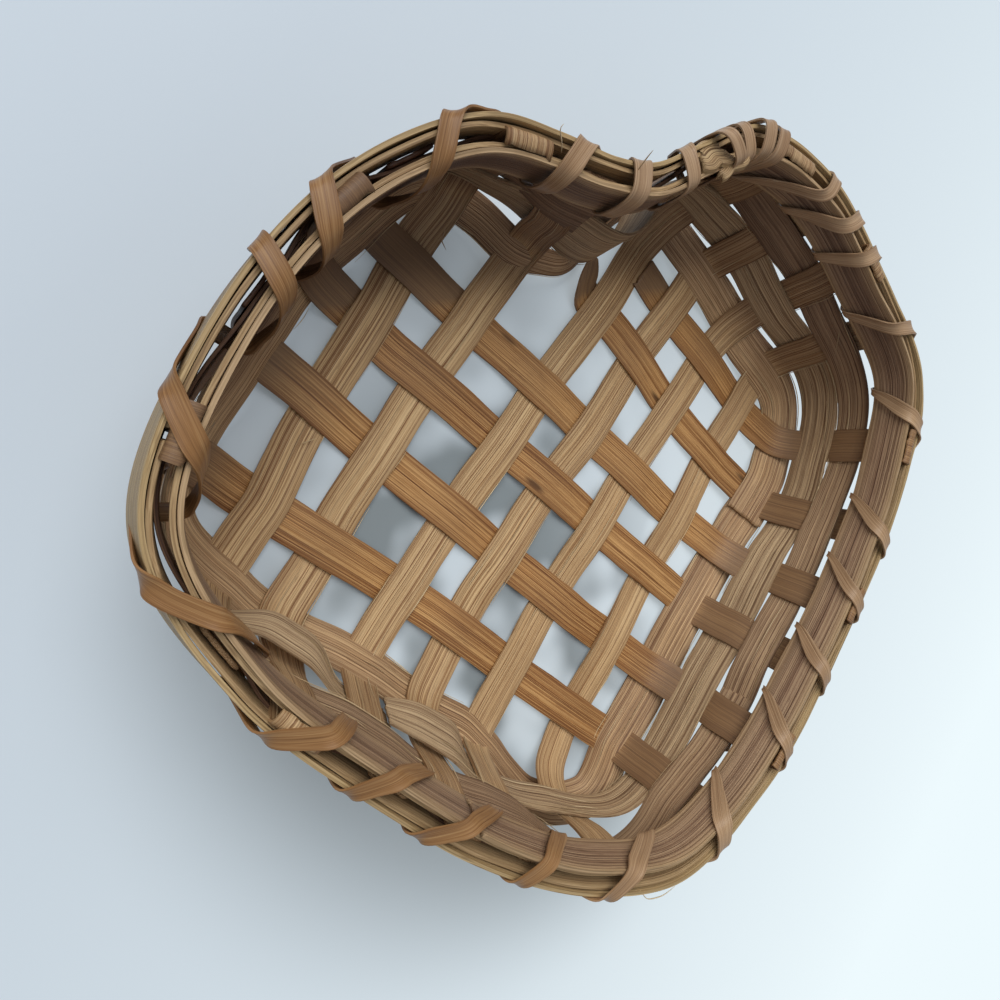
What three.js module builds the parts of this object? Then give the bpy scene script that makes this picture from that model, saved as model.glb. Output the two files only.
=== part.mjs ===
// A heart-shaped basket woven from flat wooden splints.
// Six splints fall from the upper left to the lower right and six rise from the lower left to the
// upper right. They cross in an open check over the base, turn up at its edge and stand as the stakes
// of the wall. Three weavers go round the stakes, and the stake ends are held between the bands of the
// rim, which one long narrow splint lashes together.
// Frame: millimetres, +Z up, +Y towards the cleft of the heart, origin under the middle of the basket
// at the level that it stands on.
import * as THREE from "three";

// Splints
const splintPitch = 17; // centre to centre of the splints of the base
const splintWidth = 7.8;
const splintThickness = 0.7;
const weaveGap = 0.3; // clear air between two splints that cross
const flatMargin = 0.5; // how far a splint stays flat past the edges of the one it crosses
const splintsEachWay = 6;
const baseForward = 16.2; // middle of the square base ahead of the middle of the whole basket

// Weavers
const weaverWidth = 7.2;
const weaverSpace = 2.4; // slit between one weaver and the next
const lowerWeaverTilt = 38; // degrees that the lowest weaver leans up from the base
const lapReach = 6.2; // how far a weaver's ends reach past the stake that they lap over
const cleftBulge = 5.5; // how far the middle weaver is pushed in where it crosses the cleft

// Rim
const rimInnerBandWidth = 8.4;
const rimOuterBandWidth = 8.0;
const rimFillerWidth = 5.0;
const rimFillerDrop = 0.8; // how far the fillers and the stake ends lie below the top of the bands
const rimLayerGap = 0.45;
const bandEndGap = 0.6; // butt joint of each band and filler

// Lashing
const lashWidth = 3.8;
const lashThickness = 0.4;
const lashClearance = 0.5;
const lashSpacing = 22; // rim length that one turn covers
const lashInsideShare = 0.45; // part of each turn's advance that is made on the inside face

// Splints that stop at the cleft
const splintsCutAtCleft = 2;
const tuckedEndReach = 1.5; // end of the first, past the middle of the splint that it lies on
const looseEndReach = 5.4; // end of the second, past the middle of the splint that it goes under

// Outlines, in splint pitches from the middle of the base, clockwise from the cleft.
// The two lists go round together: a stake stands on the first and ends on the second.
const footOutline = [
  [0.42, 1.93], [0.95, 2.36], [1.68, 2.74], [2.5, 2.05], [3.4, 0.95], [4.2, -0.1], [3.85, -1.1],
  [2.9, -2.0], [1.85, -3.0], [0.95, -3.95], [0.05, -4.5], [-0.9, -3.95], [-1.8, -3.05],
  [-2.85, -2.0], [-3.8, -1.05], [-4.25, -0.2], [-3.5, 1.03], [-2.4, 2.13], [-1.35, 2.8],
  [-0.7, 2.55], [-0.1, 2.05],
];
const rimOutline = [
  [0.25, 2.5], [1.0, 2.66], [1.88, 2.82], [2.95, 2.5], [3.8, 1.53], [4.55, 0.15], [4.05, -1.3],
  [3.24, -2.53], [2.2, -3.64], [1.15, -4.44], [0.02, -4.76], [-1.1, -4.5], [-2.2, -3.75],
  [-3.28, -2.56], [-4.12, -1.41], [-4.52, 0.03], [-3.75, 1.5], [-2.75, 2.36], [-1.6, 2.7],
  [-0.85, 2.64], [-0.3, 2.55],
];

// Levels that follow from the sizes above
const weaveOffset = (splintThickness + weaveGap) / 2; // middle of a crossing to the middle of each splint
const baseLevel = weaveOffset + splintThickness / 2; // middle of the base, with its underside at zero
const tilt = THREE.MathUtils.degToRad(lowerWeaverTilt);
const lowerReach = weaverWidth / 2 + flatMargin; // flat run of a stake each side of a weaver's middle
const lowerLevel = baseLevel + lowerReach * Math.sin(tilt);
const wallFootLevel = lowerLevel + lowerReach * Math.sin(tilt);
const middleLevel = wallFootLevel + weaverSpace - flatMargin + weaverWidth / 2;
const upperLevel = middleLevel + weaverWidth + weaverSpace;
const slotLevel = upperLevel + weaverWidth / 2 + lashClearance + lashThickness / 2;
const bandBottom = slotLevel + lashThickness / 2 + lashClearance;
const bandTop = bandBottom + rimInnerBandWidth;
const stakeTop = bandTop - rimFillerDrop;
const layerStep = splintThickness + rimLayerGap;
const lashLevel = bandTop + lashClearance + lashThickness / 2;
const lashOffset = 2 * layerStep + splintThickness / 2 + lashClearance + lashThickness / 2;

const outline = (points) =>
  new THREE.CatmullRomCurve3(
    points.map(([x, y]) => new THREE.Vector3(x * splintPitch, y * splintPitch, 0)),
    true,
    "centripetal",
  );
const footCurve = outline(footOutline);
const rimCurve = outline(rimOutline);

const up = new THREE.Vector3(0, 0, 1);
const wrap = (t) => ((t % 1) + 1) % 1;
const mixed = (a, b, share) => a.clone().lerp(b, share);

// Where the wall proper starts: the upper edge of the lowest weaver's cone.
function wallFoot(t) {
  const tangent = footCurve.getTangent(wrap(t));
  const outward = new THREE.Vector3(-tangent.y, tangent.x, 0).normalize();
  return footCurve.getPoint(wrap(t)).addScaledVector(outward, lowerReach * Math.cos(tilt));
}

function wallPoint(t, level) {
  const share = (level - wallFootLevel) / (bandTop - wallFootLevel);
  const point = mixed(wallFoot(t), rimCurve.getPoint(wrap(t)), share);
  point.z = level;
  return point;
}

// A frame on the wall: a middle, a direction along the ring, one up the stake and one to the inside.
function wallFrame(t, level) {
  const step = 1e-3;
  const middle = wallPoint(t, level);
  const along = wallPoint(t + step, level).sub(wallPoint(t - step, level)).normalize();
  const upward = wallPoint(t, level + 1).sub(middle).normalize();
  const inward = along.clone().cross(upward).normalize();
  upward.crossVectors(inward, along).normalize();
  return { middle, along, upward, inward };
}

function footFrame(t) {
  const middle = footCurve.getPoint(wrap(t)).setZ(lowerLevel);
  const along = footCurve.getTangent(wrap(t)).setZ(0).normalize();
  const outward = new THREE.Vector3(-along.y, along.x, 0);
  const upward = outward.clone().multiplyScalar(Math.cos(tilt)).addScaledVector(up, Math.sin(tilt));
  return { middle, along, upward, inward: along.clone().cross(upward).normalize() };
}

// The rim leans like the wall under it, evened out along the ring because its bands are stiff.
function rimFrame(t, level) {
  const { middle, along } = wallFrame(t, bandBottom);
  const upward = new THREE.Vector3();
  for (const shift of [-0.06, -0.03, 0, 0.03, 0.06]) upward.add(wallFrame(t + shift, bandBottom).upward);
  upward.addScaledVector(along, -upward.dot(along)).normalize();
  middle.addScaledVector(upward, (level - bandBottom) / upward.z);
  return { middle, along, upward, inward: along.clone().cross(upward).normalize() };
}

// The level just above the upper weaver, where the lashing passes through the wall.
const slotFrame = (t) => rimFrame(t, slotLevel);

const weaverFrames = [footFrame, (t) => wallFrame(t, middleLevel), (t) => wallFrame(t, upperLevel)];

// A closed flat strip of rectangular section. Each station has a point and the direction of its width.
function strip(stations, width, thickness) {
  const positions = [];
  const last = stations.length - 1;
  stations.forEach(({ point, across }, i) => {
    const before = stations[Math.max(i - 1, 0)].point;
    const after = stations[Math.min(i + 1, last)].point;
    const travel = new THREE.Vector3();
    if (i > 0) travel.add(point.clone().sub(before).normalize());
    if (i < last) travel.add(after.clone().sub(point).normalize());
    const face = travel.cross(across).normalize();
    for (const [w, n] of [[1, 1], [-1, 1], [-1, -1], [1, -1]]) {
      const corner = point.clone();
      corner.addScaledVector(across, (w * width) / 2);
      corner.addScaledVector(face, (n * thickness) / 2);
      positions.push(corner.x, corner.y, corner.z);
    }
  });
  const index = [0, 2, 1, 0, 3, 2];
  for (let i = 0; i < last; i++) {
    for (let side = 0; side < 4; side++) {
      const a = 4 * i + side;
      const b = 4 * i + ((side + 1) % 4);
      index.push(a, b, b + 4, a, b + 4, a + 4);
    }
  }
  const end = 4 * last;
  index.push(end, end + 1, end + 2, end, end + 2, end + 3);
  const geometry = new THREE.BufferGeometry();
  geometry.setAttribute("position", new THREE.Float32BufferAttribute(positions, 3));
  geometry.setIndex(index);
  geometry.computeVertexNormals();
  return geometry;
}

// The base splints as straight lines. A falling splint runs towards +X -Y, a rising one towards +X +Y.
const diagonal = Math.SQRT1_2;
const fallingDirection = new THREE.Vector3(diagonal, -diagonal, 0);
const risingDirection = new THREE.Vector3(diagonal, diagonal, 0);
const lineOffset = (i) => (i - (splintsEachWay - 1) / 2) * splintPitch;

// Falling splint 0 is the one nearest the cleft, and rising splint 0 is the leftmost.
const fallingLine = (i) => ({
  direction: fallingDirection,
  origin: risingDirection.clone().multiplyScalar(-lineOffset(i)),
});
const risingLine = (j) => ({
  direction: risingDirection,
  origin: fallingDirection.clone().multiplyScalar(lineOffset(j)),
});

// Where a base line crosses the foot outline, at its forward or its backward end.
function footCrossing({ direction, origin }, forward) {
  const side = new THREE.Vector3(-direction.y, direction.x, 0);
  const distance = (t) => footCurve.getPoint(wrap(t)).sub(origin).dot(side);
  const reach = (t) => footCurve.getPoint(wrap(t)).sub(origin).dot(direction) * (forward ? 1 : -1);
  const samples = 420;
  let best = null;
  for (let s = 0; s < samples; s++) {
    let low = s / samples;
    let high = (s + 1) / samples;
    if (distance(low) * distance(high) > 0) continue;
    for (let k = 0; k < 30; k++) {
      const middle = (low + high) / 2;
      if (distance(low) * distance(middle) <= 0) high = middle;
      else low = middle;
    }
    if (best === null || reach(low) > reach(best)) best = low;
  }
  return best;
}

// The stakes in their order round the basket, clockwise from the cleft.
const stakes = [];
for (let j = splintsCutAtCleft; j < splintsEachWay; j++)
  stakes.push({ family: "rising", line: risingLine(j), index: j, forward: true });
for (let i = 0; i < splintsEachWay; i++)
  stakes.push({ family: "falling", line: fallingLine(i), index: i, forward: true });
for (let j = splintsEachWay - 1; j >= 0; j--)
  stakes.push({ family: "rising", line: risingLine(j), index: j, forward: false });
for (let i = splintsEachWay - 1; i >= splintsCutAtCleft; i--)
  stakes.push({ family: "falling", line: fallingLine(i), index: i, forward: false });
for (let j = 0; j < splintsCutAtCleft; j++)
  stakes.push({ family: "rising", line: risingLine(j), index: j, forward: true });
stakes.forEach((stake, order) => {
  stake.order = order;
  stake.t = footCrossing(stake.line, stake.forward);
});

// A stake goes inside the lowest weaver when its place in the order is even, and then in turn.
const stakeSide = (order, row) => ((order + row) % 2 === 0 ? 1 : -1);

// Stations of a stake from its last base crossing up to its end in the rim.
function stakeStations(stake, baseAcross) {
  const stations = [];
  const add = (frame, offset, height) => {
    const point = frame.middle.clone();
    point.addScaledVector(frame.inward, offset);
    point.addScaledVector(frame.upward, height);
    const across = frame.along.clone();
    if (across.dot(baseAcross) < 0) across.negate();
    stations.push({ point, across });
  };
  const reach = weaverWidth / 2 + flatMargin / 2;
  weaverFrames.forEach((frameAt, row) => {
    const frame = frameAt(stake.t);
    const offset = stakeSide(stake.order, row) * weaveOffset;
    add(frame, offset, -reach);
    add(frame, offset, reach);
  });
  add(rimFrame(stake.t, bandBottom), 0, 0);
  add(rimFrame(stake.t, stakeTop), 0, 0);
  return stations;
}

// Stations of a splint across the base, over and under the splints of the other family.
function baseStations(family, index, first, last) {
  const line = family === "falling" ? fallingLine(index) : risingLine(index);
  const across = new THREE.Vector3(-line.direction.y, line.direction.x, 0);
  const reach = splintWidth / 2 + flatMargin;
  const stations = [];
  for (let other = first; other <= last; other++) {
    const fallingOver = (index + other) % 2 === 0;
    const over = family === "falling" ? fallingOver : !fallingOver;
    const level = baseLevel + (over ? weaveOffset : -weaveOffset);
    const place = family === "falling" ? lineOffset(other) : -lineOffset(other);
    for (const shift of [-reach, reach]) {
      const point = line.origin.clone().addScaledVector(line.direction, place + shift).setZ(level);
      stations.push({ point, across });
    }
  }
  stations.sort((a, b) => a.point.dot(line.direction) - b.point.dot(line.direction));
  return { stations, across, line };
}

const group = new THREE.Group();

function addPiece(name, geometry, color, roughness) {
  geometry.translate(0, baseForward, 0);
  const material = new THREE.MeshStandardMaterial({ color, roughness, metalness: 0 });
  const mesh = new THREE.Mesh(geometry, material);
  mesh.name = name;
  group.add(mesh);
}

const stakeEnd = (family, index, forward) =>
  stakes.find((s) => s.family === family && s.index === index && s.forward === forward);

// One splint from its backward end over the base to its forward end.
function splint(family, index, reaches) {
  const { stations, across, line } = baseStations(family, index, reaches.first, reaches.last);
  const backward = stakeEnd(family, index, false);
  const forward = stakeEnd(family, index, true);
  if (backward) {
    stations.unshift(...stakeStations(backward, across).reverse());
  } else {
    const first = stations[0].point;
    const middle = first.clone().addScaledVector(line.direction, splintWidth / 2 + flatMargin);
    first.copy(middle).addScaledVector(line.direction, -reaches.end);
  }
  if (forward) stations.push(...stakeStations(forward, across));
  return strip(stations, splintWidth, splintThickness);
}

const fallingColor = 0xa5713f;
const risingColor = 0xa88358;
for (let i = 0; i < splintsEachWay; i++) {
  const cut = i < splintsCutAtCleft;
  const reaches = { first: cut ? splintsCutAtCleft : 0, last: splintsEachWay - 1 };
  reaches.end = i === 0 ? tuckedEndReach : looseEndReach;
  addPiece(`falling_splint_${i + 1}`, splint("falling", i, reaches), fallingColor, 0.55);
}
for (let j = 0; j < splintsEachWay; j++) {
  const reaches = { first: j < splintsCutAtCleft ? splintsCutAtCleft : 0, last: splintsEachWay - 1 };
  addPiece(`rising_splint_${j + 1}`, splint("rising", j, reaches), risingColor, 0.65);
}

// The stretch of a ring between two stakes: its length, how many degrees it turns, and the place on it
// at a distance from the first stake.
function stretch(frameAt, from, to) {
  const samples = 24;
  const step = wrap(to - from) / samples;
  const frames = Array.from({ length: samples + 1 }, (_, s) => frameAt(from + step * s));
  const lengths = [0];
  let turn = 0;
  for (let s = 1; s <= samples; s++) {
    lengths.push(lengths[s - 1] + frames[s].middle.distanceTo(frames[s - 1].middle));
    turn += THREE.MathUtils.radToDeg(frames[s].along.angleTo(frames[s - 1].along));
  }
  const placeAt = (distance) => {
    const s = Math.max(1, lengths.findIndex((reached) => reached >= distance));
    return from + step * (s - 1 + (distance - lengths[s - 1]) / (lengths[s] - lengths[s - 1]));
  };
  return { length: lengths[samples], turn, placeAt };
}

// Places between two stakes at even distances, more of them where the wall turns.
function betweenStakes(frameAt, from, to, reach) {
  const wall = stretch(slotFrame, from, to);
  const count = Math.round(wall.turn / 14 + wall.length / (1.4 * splintPitch) - 0.3);
  const { length, placeAt } = stretch(frameAt, from, to);
  const free = length - 2 * reach;
  return Array.from({ length: count }, (_, k) => {
    const distance = reach + (free * (k + 1)) / (count + 1);
    return { t: placeAt(distance), part: distance / length };
  });
}

// Stations of a ring that lies flat across each stake, with an offset to the inside at each of them.
function ringStations(frameAt, offsets, start, laps, bulge = 0) {
  const reach = splintWidth / 2 + flatMargin;
  const stations = [];
  const add = (frame, offset, along) => {
    const point = frame.middle.clone();
    point.addScaledVector(frame.inward, offset);
    point.addScaledVector(frame.along, along);
    stations.push({ point, across: frame.upward.clone() });
  };
  for (let k = 0; k <= stakes.length; k++) {
    const stake = stakes[(start + k) % stakes.length];
    const frame = frameAt(stake.t);
    const offset = offsets(stake.order, k === stakes.length);
    const isFirst = k === 0;
    const isLast = k === stakes.length;
    add(frame, offset, isFirst ? -laps : isLast ? -laps - splintThickness : -reach);
    add(frame, offset, isLast ? laps : reach);
    if (isLast) break;
    const next = stakes[(start + k + 1) % stakes.length];
    const nextOffset = offsets(next.order, k + 1 === stakes.length);
    for (const { t, part } of betweenStakes(frameAt, stake.t, next.t, reach)) {
      const crossing = THREE.MathUtils.lerp(offset, nextOffset, THREE.MathUtils.smoothstep(part, 0, 1));
      const atCleft = next.order === 0 ? Math.sin(Math.PI * part) ** 2 : 0;
      add(frameAt(t), crossing + bulge * atCleft, 0);
    }
  }
  return stations;
}

// The weavers: each is one splint whose ends lap over one stake.
const weaverNames = ["lower_weaver", "middle_weaver", "upper_weaver"];
const weaverStarts = [5, 14, 8];
const weaverBulges = [0, cleftBulge, 0];
weaverNames.forEach((name, row) => {
  const offsets = (order, lapped) =>
    -stakeSide(order, row) * (weaveOffset + (lapped ? splintThickness + weaveGap : 0));
  const start = weaverStarts[row];
  const stations = ringStations(weaverFrames[row], offsets, start, lapReach, weaverBulges[row]);
  addPiece(name, strip(stations, weaverWidth, splintThickness), 0x7d5a3c, 0.6);
});

// The rim layers, from the inside out. Each is a ring with a butt joint between two stakes.
function rimLayer(name, layer, width, drop, start, color) {
  const level = bandTop - drop - width / 2;
  const frameAt = (t) => rimFrame(t, level);
  const offsets = () => -layer * layerStep;
  const stations = ringStations(frameAt, offsets, start, splintWidth / 2 + flatMargin);
  stations.length -= 2;
  const seam = stations[0].point.clone();
  const before = stations[stations.length - 1].point;
  const direction = seam.clone().sub(before).normalize();
  const closing = { point: seam.addScaledVector(direction, -bandEndGap), across: stations[0].across };
  stations.push(closing);
  addPiece(name, strip(stations, width, splintThickness), color, 0.55);
}
rimLayer("rim_inner_band", -2, rimInnerBandWidth, 0, 12, 0xa98455);
rimLayer("rim_inner_filler", -1, rimFillerWidth, rimFillerDrop, 3, 0xb0925f);
rimLayer("rim_outer_filler", 1, rimFillerWidth, rimFillerDrop, 16, 0xb0925f);
rimLayer("rim_outer_band", 2, rimOuterBandWidth, 0, 7, 0xa98455);

// The lashing: one narrow splint that winds round the rim, through the slot above the upper weaver,
// up the inside of the rim, over its top and down the outside, on to the next gap between stakes.
function lashingStations() {
  const stations = [];
  const add = (t, level, offset) => {
    const { middle, along, inward } = rimFrame(t, level);
    stations.push({ point: middle.addScaledVector(inward, offset), across: along });
  };
  const passes = [];
  stakes.forEach((stake, k) => {
    const next = stakes[(k + 1) % stakes.length];
    const { length, placeAt } = stretch(slotFrame, stake.t, next.t);
    const turns = Math.max(1, Math.round(length / lashSpacing));
    for (let n = 0; n < turns; n++) passes.push(placeAt((length * (n + 0.5)) / turns));
  });
  const low = bandBottom + lashThickness;
  const high = bandTop - lashThickness;
  const steps = 3;
  passes.forEach((t, k) => {
    const next = passes[(k + 1) % passes.length];
    const span = wrap(next - t);
    const turnAt = t + span * lashInsideShare;
    add(t, slotLevel, -lashOffset + lashThickness);
    add(t, slotLevel, lashOffset - lashThickness);
    for (let s = 0; s <= steps; s++) {
      const share = s / steps;
      add(t + (turnAt - t) * share, THREE.MathUtils.lerp(low, high, share), lashOffset);
    }
    if (k === passes.length - 1) return;
    add(turnAt, lashLevel, lashOffset - lashThickness);
    add(turnAt, lashLevel, -lashOffset + lashThickness);
    for (let s = 0; s <= steps; s++) {
      const share = s / steps;
      add(turnAt + (t + span - turnAt) * share, THREE.MathUtils.lerp(high, low, share), -lashOffset);
    }
  });
  return stations;
}
addPiece("rim_lashing", strip(lashingStations(), lashWidth, lashThickness), 0xa5784b, 0.4);

export default group;
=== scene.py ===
# A heart-shaped basket woven from flat wooden splints, standing on a pale table top.
import math
import random

import bpy
from mathutils import Matrix, Vector, noise


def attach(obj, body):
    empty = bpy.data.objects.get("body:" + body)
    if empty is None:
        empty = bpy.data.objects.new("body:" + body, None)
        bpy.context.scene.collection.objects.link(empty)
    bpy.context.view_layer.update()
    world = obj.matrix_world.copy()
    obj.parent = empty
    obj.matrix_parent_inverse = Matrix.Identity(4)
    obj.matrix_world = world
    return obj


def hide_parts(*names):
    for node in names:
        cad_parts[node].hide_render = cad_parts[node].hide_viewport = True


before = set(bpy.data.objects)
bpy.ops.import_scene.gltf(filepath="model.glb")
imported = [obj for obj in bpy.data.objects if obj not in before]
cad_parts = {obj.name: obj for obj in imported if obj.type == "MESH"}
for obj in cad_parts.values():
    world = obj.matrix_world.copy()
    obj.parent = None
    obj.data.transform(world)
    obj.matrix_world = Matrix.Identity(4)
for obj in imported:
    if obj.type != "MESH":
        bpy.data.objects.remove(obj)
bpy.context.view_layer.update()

# The camera looks down into the mouth from beyond the left lobe, rolled so that the point of the
# heart lies to the lower right. Its place was fitted to the crossings of the base.
mm = 0.001
camera_place = Vector((-84.3, 29.5, 128.5))
camera_target = Vector((-11.5, 4.2, 0))
camera_roll = math.radians(100.2)
camera_lens = 26.3

sight = (camera_target - camera_place).normalized()
level_right = sight.cross(Vector((0, 0, 1))).normalized()
level_up = level_right.cross(sight)
picture_right = level_right * math.cos(camera_roll) + level_up * math.sin(camera_roll)
picture_up = picture_right.cross(sight)
camera_data = bpy.data.cameras.new("camera")
camera_data.lens = camera_lens
camera_data.sensor_width = 36
camera_data.clip_start = 0.005
camera = bpy.data.objects.new("camera", camera_data)
turned = Matrix((picture_right, picture_up, -sight)).transposed().to_4x4()
camera.matrix_world = Matrix.Translation(camera_place * mm) @ turned
bpy.context.scene.collection.objects.link(camera)
bpy.context.scene.camera = camera
bpy.context.scene.view_settings.view_transform = "Standard"

# The table top is a plain laminate, pale and faintly blue. Painted shade of the basket lies on it, with
# painted patches where daylight falls through the weave, and a glow seen only by the camera brightens
# it towards the right.
table_reach = 1.5
table_level = -0.0001


def painted(red, green, blue):
    """A colour as a paint chart gives it, from 0 to 255, in the linear values that a shader takes."""
    parts = [part / 255 for part in (red, green, blue)]
    linear = (((part + 0.055) / 1.055) ** 2.4 if part > 0.04 else part / 12.92 for part in parts)
    return (*linear, 1)


table_colour = painted(208, 219, 228)
table_shaded = painted(140, 149, 152)
table_lit = painted(238, 250, 254)
table_mesh = bpy.data.meshes.new("table_top")
corners = [(-1, -1), (1, -1), (1, 1), (-1, 1)]
corners = [(x * table_reach, y * table_reach, table_level) for x, y in corners]
table_mesh.from_pydata(corners, [], [(0, 1, 2, 3)])
table_top = bpy.data.objects.new("table_top", table_mesh)
bpy.context.scene.collection.objects.link(table_top)


class Tone:
    """A socket of a finish. An expression on tones adds the Math nodes that work it out."""

    def __init__(self, finish, socket):
        self.finish, self.socket = finish, socket

    def math(self, operation, first, second):
        return self.finish.node("ShaderNodeMath", {"operation": operation}, {0: first, 1: second})

    def __add__(self, other):
        return self.math("ADD", self, other)

    def __sub__(self, other):
        return self.math("SUBTRACT", self, other)

    def __rsub__(self, other):
        return self.math("SUBTRACT", other, self)

    def __mul__(self, other):
        return self.math("MULTIPLY", self, other)

    __radd__ = __add__
    __rmul__ = __mul__


class Finish:
    """A material being made up, node by node."""

    def __init__(self, name):
        self.material = bpy.data.materials.new(name)
        self.material.use_nodes = True
        self.tree = self.material.node_tree
        self.shader = self.tree.nodes["Principled BSDF"]
        self.output = self.tree.nodes["Material Output"]

    def node(self, kind, settings=None, sockets=None, out=0):
        """Adds a node: its settings first, then the value or the tone for each of its sockets."""
        made = self.tree.nodes.new(kind)
        for name, value in (settings or {}).items():
            if name == "stops":
                self.set_stops(made.color_ramp, value)
            else:
                setattr(made, name, value)
        self.fill(made, sockets or {})
        return Tone(self, made.outputs[out])

    def set_stops(self, ramp, stops):
        while len(ramp.elements) < len(stops):
            ramp.elements.new(0.5)
        for element, (place, colour) in zip(ramp.elements, stops):
            element.position = place
            element.color = colour

    def fill(self, node, sockets):
        for name, value in sockets.items():
            if isinstance(value, Tone):
                self.tree.links.new(value.socket, node.inputs[name])
            else:
                node.inputs[name].default_value = value


laminate = Finish("table_laminate")


def over_table(value, low, high):
    """0 where a value is below the low one and 1 above the high one, smoothly between."""
    settings = {"interpolation_type": "SMOOTHSTEP"}
    return laminate.node("ShaderNodeMapRange", settings, {0: value, 1: low, 2: high})


place = laminate.node("ShaderNodeNewGeometry", out="Position")


def measured(operation, *vectors):
    """A number from the place on the table: its length, or its distance or product with another."""
    sockets = dict(enumerate((place, *vectors)))
    return laminate.node("ShaderNodeVectorMath", {"operation": operation}, sockets, out="Value")


# The painted shade, in metres on the table: its middle, where it fades and where it ends, and the same
# towards the right. Under the basket it is patchy, and beside the basket it is even.
shade_middle = (-0.01, -0.03, 0)
shade_fades, shade_ends = 0.045, 0.085
right_fades, right_ends = -0.005, 0.045
under_basket, beside_basket = 0.045, 0.065
even_shade = 0.5
patch_scale = 60.0
brightest_patch, darkest_patch = 0.34, 0.6
patch_shade = 0.15
# The painted light on the table, a glow seen only by the camera: how much it grows in a metre each way,
# and its share at the middle.
light_grows = (2.4, -2.6, 0)
light_middle = 0.32

from_middle = measured("DISTANCE", shade_middle)
across = measured("DOT_PRODUCT", (1, 0, 0))
toward_light = measured("DOT_PRODUCT", light_grows)
cloud = laminate.node("ShaderNodeTexNoise", {}, {"Vector": place, "Scale": patch_scale, "Detail": 1.0})
shade = 1 - over_table(from_middle, shade_fades, shade_ends)
shade = shade * (1 - over_table(across, right_fades, right_ends))
beside = over_table(measured("LENGTH"), under_basket, beside_basket)
patchy = patch_shade + (1 - patch_shade) * over_table(cloud, brightest_patch, darkest_patch)
shade = shade * (even_shade * beside + patchy * (1 - beside))
tones = {0: shade, 6: table_colour, 7: table_shaded}
table_tone = laminate.node("ShaderNodeMix", {"data_type": "RGBA"}, tones, out=2)
laminate.fill(laminate.shader, {"Base Color": table_tone, "Roughness": 0.6})
seen = laminate.node("ShaderNodeLightPath", out="Is Camera Ray")
glow = laminate.node("ShaderNodeEmission", {}, {"Color": table_lit, "Strength": 1.0})
surface = Tone(laminate, laminate.shader.outputs[0])
clamped = {"operation": "ADD", "use_clamp": True}
table_glow = laminate.node("ShaderNodeMath", clamped, {0: toward_light, 1: light_middle})
glow_share = seen * table_glow * (1 - shade)
shown = laminate.node("ShaderNodeMixShader", {}, {0: glow_share, 1: surface, 2: glow})
laminate.fill(laminate.output, {"Surface": shown})
table_mesh.materials.append(laminate.material)

# Daylight comes from a wide window beyond the cleft and fills the room.
room_colour = painted(236, 242, 250)
room_strength = 0.39
window_place = Vector((-0.1, 1.8, 2.3))
window_target = Vector((0, -0.02, 0))
window_size = 2.6
window_power = 73.0

room = bpy.data.worlds.new("room")
room.use_nodes = True
background = room.node_tree.nodes["Background"]
background.inputs["Color"].default_value = room_colour
background.inputs["Strength"].default_value = room_strength
bpy.context.scene.world = room
window_data = bpy.data.lights.new("window", "AREA")
window_data.size = window_size
window_data.energy = window_power
window = bpy.data.objects.new("window", window_data)
window.location = window_place
window.rotation_euler = (window_target - window_place).to_track_quat("-Z", "Y").to_euler()
bpy.context.scene.collection.objects.link(window)

# Falling splints: six flat strips split from a straight-grained hardwood, orange-brown and satin.
# They run from the upper left to the lower right of the base, bend up at its edge and stand as stakes
# in the wall. The upper left ends of the first two stop at the cleft.
splint_pitch = 17.0
splint_thickness = 0.6
weave_offset = 0.5  # middle of a crossing to the middle of each splint
base_level = 0.85
base_forward = 16.2  # middle of the square base ahead of the middle of the whole basket
splints_each_way = 6
cut_splints = 2  # these stop at the cleft
flat_reach = 4.4  # flat run of a splint each side of one that it crosses
station_gap = 1.5

# Outlines that the foot of the wall and the rim follow, in pitches, clockwise from the cleft.
foot_outline = [
    (0.42, 1.93), (0.95, 2.36), (1.68, 2.74), (2.5, 2.05), (3.4, 0.95), (4.2, -0.1), (3.85, -1.1),
    (2.9, -2.0), (1.85, -3.0), (0.95, -3.95), (0.05, -4.5), (-0.9, -3.95), (-1.8, -3.05),
    (-2.85, -2.0), (-3.8, -1.05), (-4.25, -0.2), (-3.5, 1.03), (-2.4, 2.13), (-1.35, 2.8),
    (-0.7, 2.55), (-0.1, 2.05),
]
rim_outline = [
    (0.25, 2.5), (1.0, 2.66), (1.88, 2.82), (2.95, 2.5), (3.8, 1.53), (4.55, 0.15), (4.05, -1.3),
    (3.24, -2.53), (2.2, -3.64), (1.15, -4.44), (0.02, -4.76), (-1.1, -4.5), (-2.2, -3.75),
    (-3.28, -2.56), (-4.12, -1.41), (-4.52, 0.03), (-3.75, 1.5), (-2.75, 2.36), (-1.6, 2.7),
    (-0.85, 2.64), (-0.3, 2.55),
]
foot_line = [Vector((x, y, 0)) * splint_pitch for x, y in foot_outline]
rim_line = [Vector((x, y, 0)) * splint_pitch for x, y in rim_outline]
outline_points = len(rim_outline)

# Levels on the wall, from the foot to the top of the rim.
weaver_tilt = math.radians(38)  # of the lowest weaver, from the base
weaver_reach = 4.1
lower_level = base_level + weaver_reach * math.sin(weaver_tilt)
wall_foot_level = lower_level + weaver_reach * math.sin(weaver_tilt)
middle_level = wall_foot_level + 5.5
upper_level = middle_level + 9.6
slot_level = upper_level + 4.3
band_bottom = slot_level + 0.7
band_top = band_bottom + 8.4
stake_top = band_top - 0.8
nearby = 1e-3  # share of the ring to the points that give its direction


def mixed(low, high, share):
    return low + (high - low) * share


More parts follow.
